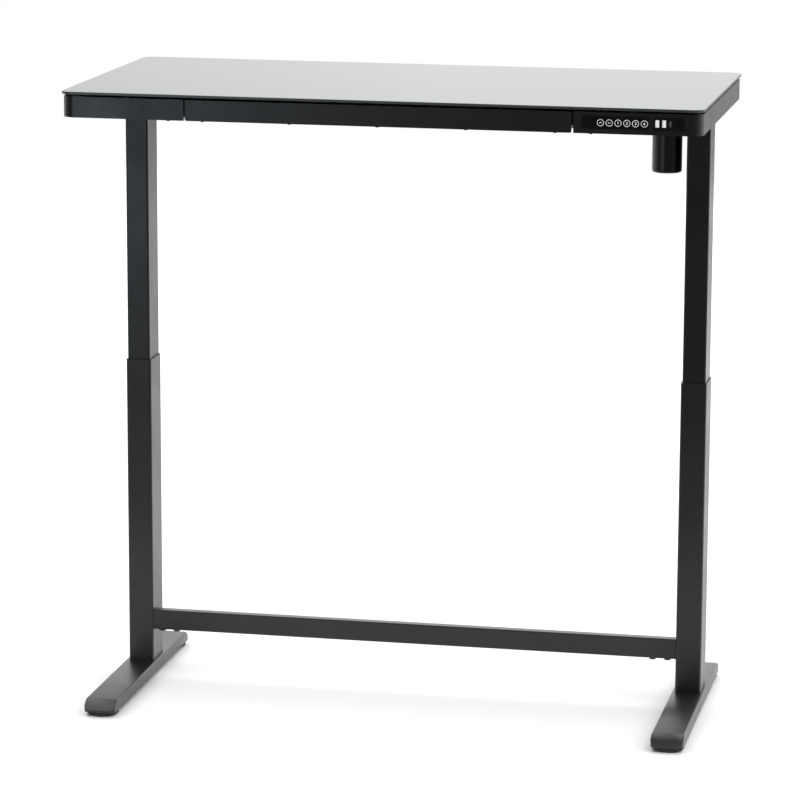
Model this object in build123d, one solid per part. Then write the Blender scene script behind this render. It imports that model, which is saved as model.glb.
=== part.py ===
from build123d import *
import math
import os

# Height adjustable standing desk. Millimetres, +X to the sitter's right, +Y away from the sitter,
# +Z up. The origin is on the floor under the middle of the top. The desk is modelled fully raised.

# Driving dimensions of the whole desk
TOP_WIDTH = 1200.0
TOP_DEPTH = 600.0
TOP_HEIGHT = 1210.0
LIFT_TRAVEL = 485.0
DRAWER_TRAVEL = 210.0
LEVELLER_TRAVEL = 10.0
RUNNING_GAP = 0.05

# Glass top and the pads that carry it
GLASS_THICKNESS = 5.0
GLASS_CORNER = 20.0
PAD_HEIGHT = 4.0
PAD_RADIUS = 6.0

# Folded sheet apron under the top
SHEET = 1.5
APRON_INSET = 2.0
APRON_CORNER = 25.0
APRON_TOP = TOP_HEIGHT - GLASS_THICKNESS - PAD_HEIGHT
APRON_BOTTOM = 1162.0
TOP_FLANGE = 14.0
BOTTOM_FLANGE = 12.0
APRON_X = TOP_WIDTH / 2 - APRON_INSET
APRON_Y = TOP_DEPTH / 2 - APRON_INSET
APRON_SPLIT = 363.5
COVER_BOTTOM = APRON_BOTTOM + SHEET
COVER_TOP = COVER_BOTTOM + SHEET

# Frame inside the apron
RAIL_TOP = APRON_TOP - SHEET
RAIL_WIDTH = 20.0
FRONT_RAIL_Y = 32.0
REAR_RAIL_Y = 128.0
STRINGER_INSIDE = 366.0
STRINGER_WIDTH = 11.0

# Lifting columns
COLUMN_X = 549.0
COLUMN_Y = 80.0
OUTER_TUBE = (50.0, 75.0)
INNER_TUBE = (45.0, 70.0)
TUBE_WALL = 1.5
OUTER_TUBE_TOP = 640.5
INNER_TUBE_BOTTOM = 527.0
GLIDE = 0.95
COLLAR = 1.5

# Feet, levellers and crossbeam
FOOT_WIDTH = 62.0
FOOT_BOTTOM = 8.0
FOOT_TOP = 30.0
FOOT_FRONT = -266.0
FOOT_REAR = 297.0
FOOT_NOSE = 27.0
LEVELLER_RADIUS = 30.0
BEAM_Y = 54.0
BEAM_SECTION = (20.0, 40.0)
BEAM_BOTTOM = 95.0
BEAM_WALL = 2.0
BOLT_RADIUS = 4.0
BASE_PLATE = 8.0

# Lift drive: screw, nut, miter gears and cross shaft
SCREW_RADIUS = 7.0
JOURNAL_RADIUS = 5.0
SCREW_BOTTOM = 530.0
NUT_BOTTOM = 560.0
NUT_TOP = 600.0
BEARING_BOTTOM = 1148.0
BEARING_TOP = 1158.0
SHAFT_RADIUS = 4.0
SHAFT_Z = 1182.0
HEAD_TOP = 1197.0
HOUSING_HALF_DEPTH = 22.0
HEAD_HALF_WIDTH = 27.0
TOOTH_COUNT = 16
PITCH_RADIUS = 12.0
GEAR_BACK = 15.5

# Motor beside the right-hand column
MOTOR_X = 485.0
MOTOR_RADIUS = 28.5
MOTOR_BOTTOM = 1043.0
END_CAP_TOP = 1055.0
GEARHEAD_BOTTOM = 1128.0
MOTOR_HALF_WIDTH = 24.0

# Drawer and its slides
DRAWER_HALF_WIDTH = 360.0
TRAY_HALF_WIDTH = 353.0
TRAY_REAR = -4.0
TRAY_TOP = 1192.0
TRAY_SHEET = 1.2
SLIDE_Z = 1181.5
SLIDE_FRONT = -280.0
SLIDE_REAR = -6.0
BALL_RADIUS = 1.8

# Control panel and charging ports in the right-hand front of the apron
PANEL = (378.4, 501.0)
USB_PLATE = (508.7, 565.9)
PANEL_BOTTOM = 1171.0
PANEL_TOP = 1194.8
USB_A_X = (516.0, 528.4)
USB_C_X = 539.6
STATUS_RING_X = 556.5
PORT_Z = 1183.0


def block(x_span, y_span, z_span):
    """A rectangular block between two places on each axis."""
    spans = (x_span, y_span, z_span)
    middle = [(low + high) / 2 for low, high in spans]
    return Pos(*middle) * Box(*[abs(high - low) for low, high in spans])


def upright(x, y, z_span, radius):
    """A round bar along Z."""
    return Pos(x, y, sum(z_span) / 2) * Cylinder(radius, z_span[1] - z_span[0])


def bar_along_x(x_span, y, z, radius):
    """A round bar along X."""
    return Pos(sum(x_span) / 2, y, z) * Rot(0, 90, 0) * Cylinder(radius, x_span[1] - x_span[0])


def bar_along_y(x, y_span, z, radius):
    """A round bar along Y."""
    return Pos(x, sum(y_span) / 2, z) * Rot(90, 0, 0) * Cylinder(radius, y_span[1] - y_span[0])


def rounded(x, y, size, z_span, corner):
    """An upright prism with a rounded rectangular section."""
    outline = RectangleRounded(size[0], size[1], corner)
    return Pos(x, y, z_span[0]) * extrude(outline, amount=z_span[1] - z_span[0])


def turned(points):
    """A solid of revolution about Z from its half outline in radius and height."""
    outline = Polyline(*[(radius, 0, z) for radius, z in points], close=True)
    return revolve(make_face(outline), axis=Axis.Z)


def save(name, *shapes):
    """Writes one sub-part, which may be a group of like solids."""
    solids = [solid for shape in shapes for solid in shape.solids()]
    whole = solids[0] if len(solids) == 1 else Compound(children=solids)
    export_step(whole, f"parts/{name}.step")


# Feet and levellers

def leveller_places():
    """Centres of the four levellers, with the names of their corners."""
    for side, x in (("left", -COLUMN_X), ("right", COLUMN_X)):
        yield f"front_{side}_leveller", x, FOOT_FRONT + LEVELLER_RADIUS
        yield f"rear_{side}_leveller", x, FOOT_REAR - LEVELLER_RADIUS


def foot_outline(inset):
    """Side view of a foot, a long low bar with a sloped nose at each end."""
    nose_z = FOOT_BOTTOM + 5 - inset
    points = [
        (FOOT_FRONT + inset, FOOT_BOTTOM - 5 * inset),
        (FOOT_FRONT + inset, nose_z),
        (FOOT_FRONT + FOOT_NOSE + inset, FOOT_TOP - inset),
        (FOOT_REAR - FOOT_NOSE - inset, FOOT_TOP - inset),
        (FOOT_REAR - inset, nose_z),
        (FOOT_REAR - inset, FOOT_BOTTOM - 5 * inset),
    ]
    return Plane.YZ * make_face(Polyline(*points, close=True))


def foot(x):
    """A foot pressed from thick sheet, hollow underneath, with a threaded boss over each leveller."""
    middle = (FOOT_FRONT + FOOT_REAR) / 2
    length = FOOT_REAR - FOOT_FRONT
    plan = rounded(0, middle, (FOOT_WIDTH, length), (0, FOOT_TOP), 12)
    body = extrude(foot_outline(0), amount=FOOT_WIDTH / 2, both=True) & plan
    ridge = body.edges().filter_by(Axis.Y).group_by(Axis.Z)[-1]
    skin = fillet(ridge, 3)
    wall = 3.0
    room = (FOOT_WIDTH - 2 * wall, length - 2 * wall)
    hollow = extrude(foot_outline(wall), amount=room[0] / 2, both=True)
    body = skin - (hollow & rounded(0, middle, room, (-20, FOOT_TOP), 9))
    for y in (FOOT_FRONT + LEVELLER_RADIUS, FOOT_REAR - LEVELLER_RADIUS):
        body += upright(0, y, (FOOT_BOTTOM + 1, FOOT_TOP - 2.5), 10) & skin
        body -= upright(0, y, (0, FOOT_TOP - 4), BOLT_RADIUS + RUNNING_GAP)
    return Pos(x, 0, 0) * body - Compound(children=column_bolts(x))


def leveller(x, y):
    """A round levelling pad moulded on a threaded stud."""
    rim = FOOT_BOTTOM - 0.4
    pad = turned([(0, 0), (27, 0), (LEVELLER_RADIUS, 2.5), (LEVELLER_RADIUS, 5.5), (28.5, rim), (0, rim)])
    stud = upright(0, 0, (2, FOOT_TOP - 5), BOLT_RADIUS)
    return Pos(x, y, 0) * (pad + stud)


def bolt_up(x, y, seat, grip):
    """A button-head bolt pushed up through what it holds, with a hexagonal key socket."""
    head = upright(x, y, (seat - 4, seat), 7)
    head = chamfer(head.edges().group_by(Axis.Z)[0], 1.5)
    socket = Pos(x, y, seat - 4) * extrude(RegularPolygon(2.9, 6), amount=2.5)
    return head - socket + upright(x, y, (seat, seat + grip), BOLT_RADIUS)


def column_bolts(x):
    """Four bolts that hold a column's base plate down on its foot."""
    seat = FOOT_TOP - 3
    return [bolt_up(x + dx, COLUMN_Y + dy, seat, 9) for dx in (-14, 14) for dy in (-26, 26)]


# Columns

def tube(x, size, z_span, corner):
    """A rectangular tube, upright on a column's centre."""
    inside = (size[0] - 2 * TUBE_WALL, size[1] - 2 * TUBE_WALL)
    skin = rounded(x, COLUMN_Y, size, z_span, corner)
    return skin - rounded(x, COLUMN_Y, inside, z_span, corner - TUBE_WALL)


def outer_column(x):
    """The lower, outer tube of a column, welded round its base plate."""
    return tube(x, OUTER_TUBE, (FOOT_TOP, OUTER_TUBE_TOP), 4)


def inner_column(x):
    """The upper, inner tube of a column, up to the gear housing."""
    return tube(x, INNER_TUBE, (INNER_TUBE_BOTTOM, COVER_TOP), 3.5)


def base_plate(x):
    """The plate inside the foot of the outer tube, tapped for the foot bolts."""
    size = (OUTER_TUBE[0] - 2 * TUBE_WALL, OUTER_TUBE[1] - 2 * TUBE_WALL)
    plate = rounded(x, COLUMN_Y, size, (FOOT_TOP, FOOT_TOP + BASE_PLATE), 2.5)
    return plate - Compound(children=column_bolts(x))


def glide_pads(x, inner_size, z_span):
    """Four flat sliding pads round a tube of the given size."""
    half_x, half_y = inner_size[0] / 2, inner_size[1] / 2
    pads = []
    for sign in (-1, 1):
        near_x, far_x = x + sign * half_x, x + sign * (half_x + GLIDE)
        near_y, far_y = COLUMN_Y + sign * half_y, COLUMN_Y + sign * (half_y + GLIDE)
        pads.append(block(sorted((near_x, far_x)), (COLUMN_Y - 26, COLUMN_Y + 26), z_span))
        pads.append(block((x - 15, x + 15), sorted((near_y, far_y)), z_span))
    return pads


def upper_glide(x):
    """A moulded collar on the rim of the outer tube, with four sliding pads inside the tube."""
    bore = (INNER_TUBE[0] + 2 * RUNNING_GAP, INNER_TUBE[1] + 2 * RUNNING_GAP)
    top = OUTER_TUBE_TOP + COLLAR
    collar = rounded(x, COLUMN_Y, OUTER_TUBE, (OUTER_TUBE_TOP, top), 4)
    opening = (INNER_TUBE[0] + 0.6, INNER_TUBE[1] + 0.6)
    collar -= rounded(x, COLUMN_Y, opening, (OUTER_TUBE_TOP, top), 3.8)
    for pad in glide_pads(x, bore, (OUTER_TUBE_TOP - 55, OUTER_TUBE_TOP)):
        collar += pad
    return collar


def lower_glide(x):
    """A moulded sleeve on the bottom end of the inner tube, with four sliding pads outside it."""
    rim = (INNER_TUBE[0] + 1.4, INNER_TUBE[1] + 1.4)
    inside = (INNER_TUBE[0] - 2 * TUBE_WALL, INNER_TUBE[1] - 2 * TUBE_WALL)
    z_span = (INNER_TUBE_BOTTOM - COLLAR, INNER_TUBE_BOTTOM)
    sleeve = rounded(x, COLUMN_Y, rim, z_span, 3.5) - rounded(x, COLUMN_Y, inside, z_span, 2)
    for pad in glide_pads(x, INNER_TUBE, (INNER_TUBE_BOTTOM, INNER_TUBE_BOTTOM + 48)):
        sleeve += pad
    return sleeve


def nut_post(x):
    """A steel pipe that stands on the base plate and carries the drive nut."""
    z_span = (FOOT_TOP + BASE_PLATE, NUT_BOTTOM)
    return upright(x, COLUMN_Y, z_span, 14) - upright(x, COLUMN_Y, z_span, 10)


def drive_nut(x):
    """The flanged brass nut that the lifting screw turns in."""
    body = upright(x, COLUMN_Y, (NUT_BOTTOM, NUT_BOTTOM + 8), 18)
    body += upright(x, COLUMN_Y, (NUT_BOTTOM + 8, NUT_TOP), 14)
    return body - upright(x, COLUMN_Y, (NUT_BOTTOM, NUT_TOP), SCREW_RADIUS + RUNNING_GAP)


# Crossbeam between the columns

def beam_bolt_places():
    """The four bolts under the beam, two near each end."""
    return [(side * x, BEAM_Y) for side in (-1, 1) for x in (478, 507)]


def crossbeam():
    """A rectangular tube between the two outer columns, low down."""
    reach = COLUMN_X - OUTER_TUBE[0] / 2
    z_middle = BEAM_BOTTOM + BEAM_SECTION[1] / 2
    skin = RectangleRounded(*BEAM_SECTION, 2.5)
    hole = RectangleRounded(BEAM_SECTION[0] - 2 * BEAM_WALL, BEAM_SECTION[1] - 2 * BEAM_WALL, 0.5)
    beam = extrude(Plane.YZ * (skin - hole), amount=reach, both=True)
    beam = Pos(0, BEAM_Y, z_middle) * beam
    return beam - Compound(children=beam_bolts())


def beam_bracket(side):
    """A bar welded to a column, which the end of the beam slides over."""
    reach = COLUMN_X - OUTER_TUBE[0] / 2
    half_depth = BEAM_SECTION[0] / 2 - BEAM_WALL
    z_span = (BEAM_BOTTOM + BEAM_WALL, BEAM_BOTTOM + BEAM_SECTION[1] - BEAM_WALL)
    x_span = sorted((side * (reach - 62), side * reach))
    bar = block(x_span, (BEAM_Y - half_depth, BEAM_Y + half_depth), z_span)
    bar = chamfer(bar.edges().filter_by(Axis.X), 1)
    return bar - Compound(children=beam_bolts())


def beam_bolts():
    """Bolts pushed up through the beam into its brackets."""
    return [bolt_up(x, y, BEAM_BOTTOM, 16) for x, y in beam_bolt_places()]


# Miter gears

def tooth_space(scale):
    """Section of the space between two teeth across the gear's axis, scaled about the apex."""
    half = [(10.05, 0.63), (11.96, 1.38), (14.2, 2.4), (16, 3.2)]
    outline = half + [(radius, -width) for radius, width in reversed(half)]
    points = [(radius * scale, width * scale, -PITCH_RADIUS * scale) for radius, width in outline]
    return make_face(Polyline(*points, close=True))


def miter_gear(bore_radius, hub_length):
    """A 1:1 bevel gear on the Z axis, teeth upwards, with the apex of its cones at the origin."""
    toes = [(0, -9.21), (7.71, -9.21), (9.06, -7.86)]
    heels = [(12.85, -11.15), (9, -15), (9, -GEAR_BACK), (0, -GEAR_BACK)]
    gear = turned(toes + heels)
    space = loft([tooth_space(1.4), tooth_space(0.5)], ruled=True)
    for index in range(TOOTH_COUNT):
        gear -= Rot(0, 0, 360 / TOOTH_COUNT * (index + 0.5)) * space
    gear += upright(0, 0, (-GEAR_BACK - hub_length, -GEAR_BACK), 8)
    return gear - upright(0, 0, (-40, 0), bore_radius)


def upright_gear(x, hub_length):
    """A gear on an upright screw or motor shaft, under the cross shaft."""
    return Pos(x, COLUMN_Y, SHAFT_Z) * miter_gear(JOURNAL_RADIUS, hub_length)


def shaft_pinion(x):
    """A gear on the cross shaft, turned half a tooth so that it meshes with the upright gear."""
    turn = Rot(0, 90, 0) * Rot(0, 0, 180 / TOOTH_COUNT)
    return Pos(x, COLUMN_Y, SHAFT_Z) * turn * miter_gear(SHAFT_RADIUS, 3)


# Lift drive

def lift_screw(x):
    """A lifting screw hung in its bearing, with a plain journal above its shoulder."""
    screw = upright(x, COLUMN_Y, (SCREW_BOTTOM, BEARING_BOTTOM - 0.1), SCREW_RADIUS)
    screw = chamfer(screw.edges().group_by(Axis.Z)[0], 1.5)
    return screw + upright(x, COLUMN_Y, (BEARING_BOTTOM - 0.1, SHAFT_Z - 8.5), JOURNAL_RADIUS)


def drive_shaft():
    """The cross shaft, hexagonal between the gear housings and round inside them."""
    ends = (-COLUMN_X - 23, COLUMN_X + 23)
    shaft = bar_along_x(ends, COLUMN_Y, SHAFT_Z, SHAFT_RADIUS)
    hexagon = RegularPolygon(SHAFT_RADIUS, 6, major_radius=False)
    for start, end in (
        (-COLUMN_X + HEAD_HALF_WIDTH + 2, MOTOR_X - MOTOR_HALF_WIDTH - 2),
        (MOTOR_X + MOTOR_HALF_WIDTH + 2, COLUMN_X - HEAD_HALF_WIDTH - 2),
    ):
        span = extrude(Plane.YZ * hexagon, amount=end - start)
        shaft += Pos(start, COLUMN_Y, SHAFT_Z) * span
    return shaft


def gear_housing(x, half_width):
    """A cast housing round one pair of miter gears, with a flange that spans the two rails."""
    y_span = (COLUMN_Y - HOUSING_HALF_DEPTH, COLUMN_Y + HOUSING_HALF_DEPTH)
    flange_y = (FRONT_RAIL_Y + RAIL_WIDTH / 2, REAR_RAIL_Y - RAIL_WIDTH / 2)
    x_span = (x - half_width, x + half_width)
    casting = block(x_span, y_span, (COVER_TOP, HEAD_TOP))
    casting += block(x_span, flange_y, (COVER_TOP, COVER_TOP + 12))
    casting -= block((x - 19, x + 17), (COLUMN_Y - 16, COLUMN_Y + 16), (COVER_TOP, HEAD_TOP))
    casting -= bar_along_x(x_span, COLUMN_Y, SHAFT_Z, SHAFT_RADIUS + 2)
    casting += block((x - 19, x + 17), (COLUMN_Y - 16, COLUMN_Y + 16), (COVER_TOP - 1, COVER_TOP))
    return casting


def column_head(x):
    """A column's gear housing, with a spigot inside the inner tube that holds the screw bearing."""
    spigot = (INNER_TUBE[0] - 2 * TUBE_WALL, INNER_TUBE[1] - 2 * TUBE_WALL)
    casting = gear_housing(x, HEAD_HALF_WIDTH)
    casting += rounded(x, COLUMN_Y, spigot, (BEARING_BOTTOM - 8, COVER_TOP), 2)
    casting -= upright(x, COLUMN_Y, (BEARING_BOTTOM - 8, BEARING_TOP), 13)
    casting -= upright(x, COLUMN_Y, (BEARING_TOP, COVER_TOP), 11)
    return casting - Compound(children=housing_bolts(x))


def motor_gear_housing():
    """The motor's gear housing, with the barrel of its planetary reduction below the flange."""
    casting = gear_housing(MOTOR_X, MOTOR_HALF_WIDTH)
    casting += upright(MOTOR_X, COLUMN_Y, (GEARHEAD_BOTTOM, COVER_TOP), MOTOR_RADIUS)
    casting -= upright(MOTOR_X, COLUMN_Y, (GEARHEAD_BOTTOM, COVER_TOP), JOURNAL_RADIUS + RUNNING_GAP)
    casting -= upright(MOTOR_X, COLUMN_Y, (COVER_TOP - 6, COVER_TOP), 11)
    return casting - Compound(children=housing_bolts(MOTOR_X))


def housing_bolts(x):
    """Four bolts that clamp a housing's flange between the front and rear rails."""
    bolts = []
    for y, towards in ((FRONT_RAIL_Y - RAIL_WIDTH / 2, 1), (REAR_RAIL_Y + RAIL_WIDTH / 2, -1)):
        for bolt_x in (x - 17, x + 17):
            head = bar_along_y(bolt_x, sorted((y, y - 4 * towards)), COVER_TOP + 6, 5)
            shank = bar_along_y(bolt_x, sorted((y, y + 32 * towards)), COVER_TOP + 6, 3)
            bolts.append(head + shank)
    return bolts


def housing_lid(x, half_width):
    """The flat lid of a gear housing."""
    y_span = (COLUMN_Y - HOUSING_HALF_DEPTH, COLUMN_Y + HOUSING_HALF_DEPTH)
    return block((x - half_width, x + half_width), y_span, (HEAD_TOP, HEAD_TOP + 2))


def shaft_bushes(x, half_width):
    """The two plain bushes that the cross shaft turns in at one housing."""
    rings = []
    for x_span in ((x - half_width, x - 19), (x + 17, x + half_width)):
        ring = bar_along_x(x_span, COLUMN_Y, SHAFT_Z, SHAFT_RADIUS + 2)
        rings.append(ring - bar_along_x(x_span, COLUMN_Y, SHAFT_Z, SHAFT_RADIUS + RUNNING_GAP))
    return rings


def screw_bearing(x):
    """The bearing that carries one column's load on its screw, with its balls left out."""
    z_span = (BEARING_BOTTOM, BEARING_TOP)
    ring = upright(x, COLUMN_Y, z_span, 13)
    return ring - upright(x, COLUMN_Y, z_span, JOURNAL_RADIUS + RUNNING_GAP)


def motor_can():
    """The round steel case of the motor."""
    return upright(MOTOR_X, COLUMN_Y, (END_CAP_TOP, GEARHEAD_BOTTOM), MOTOR_RADIUS)


def motor_end_cap():
    """The cup-shaped cap on the motor's lower end."""
    cap = upright(MOTOR_X, COLUMN_Y, (MOTOR_BOTTOM, END_CAP_TOP), MOTOR_RADIUS)
    cap = fillet(cap.edges().group_by(Axis.Z)[0], 4)
    return cap - upright(MOTOR_X, COLUMN_Y, (MOTOR_BOTTOM, MOTOR_BOTTOM + 1.5), 16)


def motor_output():
    """The motor's output shaft, with its miter gear in one piece."""
    shaft = upright(MOTOR_X, COLUMN_Y, (GEARHEAD_BOTTOM + 3, SHAFT_Z - 8.5), JOURNAL_RADIUS)
    return shaft + upright_gear(MOTOR_X, 3)


# Top: glass, apron, frame and covers

def glass_top():
    """The tempered glass top with rounded corners and ground edges."""
    z_span = (TOP_HEIGHT - GLASS_THICKNESS, TOP_HEIGHT)
    plate = rounded(0, 0, (TOP_WIDTH, TOP_DEPTH), z_span, GLASS_CORNER)
    rims = plate.edges().group_by(Axis.Z)
    return chamfer(rims[0] + rims[-1], 1)


def glass_pads():
    """Round rubber pads between the glass and the frame, on the apron's flange and on the rails."""
    z_span = (APRON_TOP, APRON_TOP + PAD_HEIGHT)
    side_x, end_y = APRON_X - 7, APRON_Y - 7
    corner = APRON_CORNER - (APRON_CORNER - 7) / math.sqrt(2)
    spots = [(sx * (APRON_X - corner), sy * (APRON_Y - corner)) for sx in (-1, 1) for sy in (-1, 1)]
    spots += [(sx * side_x, y) for sx in (-1, 1) for y in (-140, 0, 140)]
    spots += [(x, end_y) for x in (-470, -220, 0, 220, 470)]
    spots += [(-470, -end_y), (470, -end_y)]
    pads = [upright(x, y, z_span, PAD_RADIUS) for x, y in spots]
    for x in (-280, 0, 280):
        for y in (FRONT_RAIL_Y, REAR_RAIL_Y):
            pads.append(upright(x, y, (RAIL_TOP, APRON_TOP + PAD_HEIGHT), PAD_RADIUS))
    return pads


def apron_layer(distance, z_span):
    """The space inside the apron's outline, a given distance in from it."""
    plan = (2 * (APRON_X - distance), 2 * (APRON_Y - distance))
    return rounded(0, 0, plan, z_span, APRON_CORNER - distance)


def apron_ring():
    """The whole folded apron, a wall with a flange turned in along its top and bottom."""
    ring = apron_layer(0, (APRON_BOTTOM, APRON_TOP))
    ring -= apron_layer(SHEET, (APRON_BOTTOM + SHEET, APRON_TOP - SHEET))
    ring -= apron_layer(TOP_FLANGE, (APRON_TOP - SHEET, APRON_TOP))
    ring -= apron_layer(BOTTOM_FLANGE, (APRON_BOTTOM, APRON_BOTTOM + SHEET))
    return ring - Compound(children=cover_screws())


def end_apron(side):
    """The C-shaped end of the apron, from the front past one side to the rear."""
    x_span = sorted((side * APRON_SPLIT, side * TOP_WIDTH))
    return apron_ring() & block(x_span, (-TOP_DEPTH, TOP_DEPTH), (0, TOP_HEIGHT))


def left_apron():
    """The left-hand end of the apron."""
    return end_apron(-1)


def right_apron():
    """The right-hand end, with windows for the control panel, the ports and the mains inlet."""
    shell = end_apron(1)
    front = (-TOP_DEPTH / 2, -TOP_DEPTH / 2 + 10)
    z_span = (PANEL_BOTTOM + 1.5, PANEL_TOP - 1.5)
    for left, right in (PANEL, USB_PLATE):
        shell -= block((left + 1.5, right - 1.5), front, z_span)
    return shell - block(*inlet_body())


def rear_apron():
    """The straight rear length of the apron between the two ends."""
    x_span = (-APRON_SPLIT, APRON_SPLIT)
    return apron_ring() & block(x_span, (0, TOP_DEPTH), (0, TOP_HEIGHT))


def cover_screws():
    """Pan-head screws that hold the underside covers up to the apron and the front rail."""
    flange_spots = [(side * 394, end * 290) for side in (-1, 1) for end in (-1, 1)]
    flange_spots += [(side * 590, y) for side in (-1, 1) for y in (-150, 150)]
    flange_spots += [(-200, 290), (200, 290)]
    screws = [pan_screw(x, y, APRON_BOTTOM, 5) for x, y in flange_spots]
    return screws + [pan_screw(x, FRONT_RAIL_Y, COVER_BOTTOM, 5) for x in (-200, 200)]


def pan_screw(x, y, seat, grip):
    """A small screw driven upwards, with a rounded head and a hexagonal socket."""
    head = upright(x, y, (seat - 2, seat), 3.5)
    head = fillet(head.edges().group_by(Axis.Z)[0], 1.2)
    socket = Pos(x, y, seat - 2) * extrude(RegularPolygon(1.4, 6), amount=1.2)
    return head - socket + upright(x, y, (seat, seat + grip), 2)


def rail(y):
    """A rectangular tube along the desk, in front of or behind the gear housings."""
    reach = APRON_X - SHEET
    height = RAIL_TOP - COVER_TOP
    section = Rectangle(RAIL_WIDTH, height) - Rectangle(RAIL_WIDTH - 2 * SHEET, height - 2 * SHEET)
    tube_x = Pos(0, y, COVER_TOP + height / 2) * extrude(Plane.YZ * section, amount=reach, both=True)
    for x in (-COLUMN_X, MOTOR_X, COLUMN_X):
        tube_x -= Compound(children=housing_bolts(x))
    for lead_x, lead_z in (MOTOR_LEAD, MAINS_LEAD):
        tube_x -= bar_along_y(lead_x, (y - RAIL_WIDTH, y + RAIL_WIDTH), lead_z, 4)
    return tube_x - Compound(children=cover_screws())


def stringer(side, y_span):
    """A narrow tube from a rail to the apron, beside the drawer."""
    x_span = sorted((side * STRINGER_INSIDE, side * (STRINGER_INSIDE + STRINGER_WIDTH)))
    skin = block(x_span, y_span, (COVER_TOP, RAIL_TOP))
    hollow_x = (x_span[0] + SHEET, x_span[1] - SHEET)
    return skin - block(hollow_x, y_span, (COVER_TOP + SHEET, RAIL_TOP - SHEET))


def stringers():
    """Four stringers; the front pair carries the drawer slides."""
    wall = APRON_Y - SHEET
    front = (-wall, FRONT_RAIL_Y - RAIL_WIDTH / 2)
    rear = (REAR_RAIL_Y + RAIL_WIDTH / 2, wall)
    return [stringer(side, y_span) for side in (-1, 1) for y_span in (front, rear)]


def end_cover(side):
    """A flat sheet that closes the underside of one end, with holes for the column and the motor."""
    z_span = (COVER_BOTTOM, COVER_TOP)
    sheet = apron_layer(SHEET, z_span)
    x_span = sorted((side * (STRINGER_INSIDE + 0.5), side * TOP_WIDTH))
    sheet &= block(x_span, (-TOP_DEPTH, TOP_DEPTH), z_span)
    hole = (INNER_TUBE[0] + 2, INNER_TUBE[1] + 2)
    sheet -= rounded(side * COLUMN_X, COLUMN_Y, hole, z_span, 4.5)
    if side > 0:
        sheet -= upright(MOTOR_X, COLUMN_Y, z_span, MOTOR_RADIUS + 1)
    return sheet - Compound(children=cover_screws())


def centre_cover():
    """A flat sheet that closes the underside behind the drawer."""
    x_span = (-STRINGER_INSIDE - 0.5, STRINGER_INSIDE + 0.5)
    sheet = block(x_span, (8, APRON_Y - SHEET), (COVER_BOTTOM, COVER_TOP))
    return sheet - Compound(children=cover_screws())


# Drawer

def drawer_front():
    """The folded drawer front, with a flange along its top and bottom edges."""
    face_y = (-APRON_Y, -APRON_Y + SHEET)
    flange_y = (-APRON_Y + SHEET, -APRON_Y + SHEET + BOTTOM_FLANGE)
    x_span = (-DRAWER_HALF_WIDTH, DRAWER_HALF_WIDTH)
    front = block(x_span, face_y, (APRON_BOTTOM, APRON_TOP - 0.5))
    lower_corners = front.edges().filter_by(Axis.Y).group_by(Axis.Z)[0]
    front = fillet(lower_corners, 3)
    lip_x = (-DRAWER_HALF_WIDTH + 4, DRAWER_HALF_WIDTH - 4)
    front += block(lip_x, flange_y, (APRON_BOTTOM, COVER_BOTTOM))
    front += block(lip_x, flange_y, (APRON_TOP - 0.5 - SHEET, APRON_TOP - 0.5))
    return front - Compound(children=drawer_screws())


def drawer_screws():
    """Five screws through the lip of the drawer front into the tray."""
    return [pan_screw(spot * 164.5, -290, APRON_BOTTOM, 3.4) for spot in range(-2, 3)]


def drawer_tray():
    """The open sheet tray behind the drawer front."""
    y_span = (-APRON_Y + SHEET, TRAY_REAR)
    tray = block((-TRAY_HALF_WIDTH, TRAY_HALF_WIDTH), y_span, (COVER_BOTTOM, TRAY_TOP))
    room_x = (-TRAY_HALF_WIDTH + TRAY_SHEET, TRAY_HALF_WIDTH - TRAY_SHEET)
    room_y = (y_span[0] + TRAY_SHEET, y_span[1] - TRAY_SHEET)
    tray -= block(room_x, room_y, (COVER_BOTTOM + TRAY_SHEET, TRAY_TOP))
    return tray - Compound(children=drawer_screws())


def slide_block(side, depth_span, y_span, z_span):
    """A block in a slide, with its depth counted from the stringer towards the drawer."""
    x_span = sorted(side * (STRINGER_INSIDE - depth) for depth in depth_span)
    return block(x_span, y_span, [SLIDE_Z + z for z in z_span])


def slide_outer(side):
    """The fixed channel of a ball-bearing slide, open towards the drawer."""
    y_span = (SLIDE_FRONT, SLIDE_REAR)
    channel = slide_block(side, (0, 9.5), y_span, (-13.5, 13.5))
    return channel - slide_block(side, (1.2, 9.5), y_span, (-12.3, 12.3))


def slide_inner(side):
    """The moving channel of a slide, riveted to the drawer tray."""
    y_span = (SLIDE_FRONT + 2, SLIDE_REAR - 2)
    channel = slide_block(side, (3.5, 13), y_span, (-8.5, 8.5))
    return channel - slide_block(side, (3.5, 11.8), y_span, (-7.3, 7.3))


def ball_cage(side):
    """The thin strip that spaces the balls of one slide, with two rows of six balls."""
    y_span = (-172, -116)
    cage = slide_block(side, (2, 9), y_span, (-10.9, 10.9))
    cage -= slide_block(side, (3, 9), y_span, (-9.9, 9.9))
    balls = []
    for index in range(6):
        for row in (-10.4, 10.4):
            spot = Pos(side * (STRINGER_INSIDE - 6.2), y_span[0] + 8 + 8 * index, SLIDE_Z + row)
            balls.append(spot * Sphere(BALL_RADIUS))
            cage -= spot * Cylinder(BALL_RADIUS + 0.1, 4)
    return [cage] + balls


# Controls and electrics

MOTOR_LEAD = (MOTOR_X, 1186.0)
MAINS_LEAD = (515.5, 1191.5)
CONTROL_BOX = ((405.0, 560.0), (-235.0, -110.0), (COVER_TOP + 1, 1195.0))
BOARD_PARTS = ((440, -180, 12, 16), (480, -200, 9, 14), (520, -170, 14, 18), (470, -150, 7, 10))


def inlet_body():
    """The space that the mains inlet takes through the rear wall of the apron."""
    x, z = MAINS_LEAD[0], 1183.0
    return (x - 13, x + 13), (APRON_Y - 22, APRON_Y), (z - 10, z + 10)


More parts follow.
